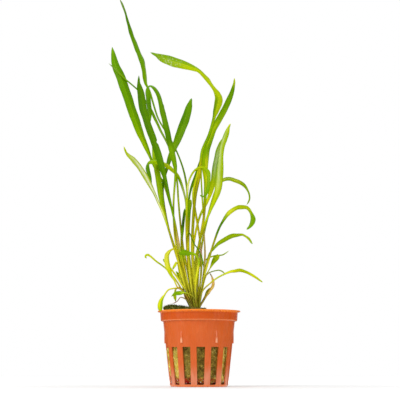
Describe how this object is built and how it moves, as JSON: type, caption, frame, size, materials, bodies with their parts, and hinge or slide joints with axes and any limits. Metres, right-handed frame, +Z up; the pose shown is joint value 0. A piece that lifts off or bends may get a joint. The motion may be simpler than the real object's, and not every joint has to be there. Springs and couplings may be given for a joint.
{
  "type": "potted cryptocoryne",
  "caption": "Aquarium plant: a rosette of long narrow wavy leaves on thin stalks, rooted in rock wool in a slotted round plastic net pot with a flat rim.",
  "frame": {"origin": "centre of the net pot's underside", "axes": "+Z up along the pot's axis, -Y towards the plant's front, +X to the right as seen from the front"},
  "size_m": [0.1055, 0.0835, 0.2787],
  "materials": {
    "terracotta_plastic": "semi-gloss moulded plastic, terracotta orange",
    "rock_wool_fibre": "matt damp mineral fibre, stained olive brown",
    "crown_tissue": "matt damp plant tissue",
    "leaf_green": "satin living leaf",
    "leaf_dark_green": "satin living leaf",
    "leaf_yellow_green": "satin living leaf",
    "leaf_yellow": "satin ageing leaf",
    "stalk_olive": "satin leaf stalk",
    "old_brown_tissue": "matt damp decayed tissue",
    "dead_leaf_tan": "matt dry leaf"
  },
  "bodies": {
    "root": {"net_pot": "terracotta_plastic", "rock_wool_plug": "rock_wool_fibre", "crown": "crown_tissue", "tallest_leaf": "leaf_green", "wisp_leaf": "stalk_olive", "whip_leaf": "leaf_green", "narrow_back_leaf": "leaf_dark_green", "broad_left_leaf": "leaf_green", "centre_blade_leaf": "leaf_green", "hook_leaf": "leaf_yellow_green", "old_sheath_back": "old_brown_tissue", "broad_right_leaf": "leaf_dark_green", "short_centre_leaf": "leaf_dark_green", "bare_leaf_stalk": "stalk_olive", "yellow_left_leaf": "leaf_yellow_green", "sheen_leaf": "leaf_green", "loop_leaf": "leaf_dark_green", "stub_leaf": "leaf_green", "old_sheath_front": "old_brown_tissue", "small_left_leaf": "leaf_green", "bridge_leaf": "leaf_yellow_green", "yellow_mid_leaf": "leaf_yellow", "folded_leaf": "leaf_yellow_green", "twisted_leaf": "leaf_yellow_green", "folded_over_leaf": "leaf_green", "tall_right_leaf": "leaf_green", "low_arching_leaf": "leaf_green", "dead_leaf": "dead_leaf_tan", "drooping_small_leaf": "leaf_yellow_green", "dark_left_leaf": "leaf_dark_green", "swan_leaf": "leaf_yellow_green", "arching_leaf": "leaf_green", "curled_tip_leaf": "leaf_yellow_green", "pale_left_leaf": "leaf_yellow_green", "crook_leaf": "leaf_yellow_green", "long_low_leaf": "leaf_yellow_green", "rim_leaf": "leaf_yellow_green", "thin_left_leaf": "stalk_olive", "pale_right_leaf": "leaf_yellow_green", "yellow_curl_leaf": "leaf_yellow", "hanging_leaf": "leaf_dark_green", "flat_front_leaf": "leaf_yellow_green", "surface_root": "old_brown_tissue", "tangled_leaf": "leaf_dark_green"}
  },
  "joints": []
}
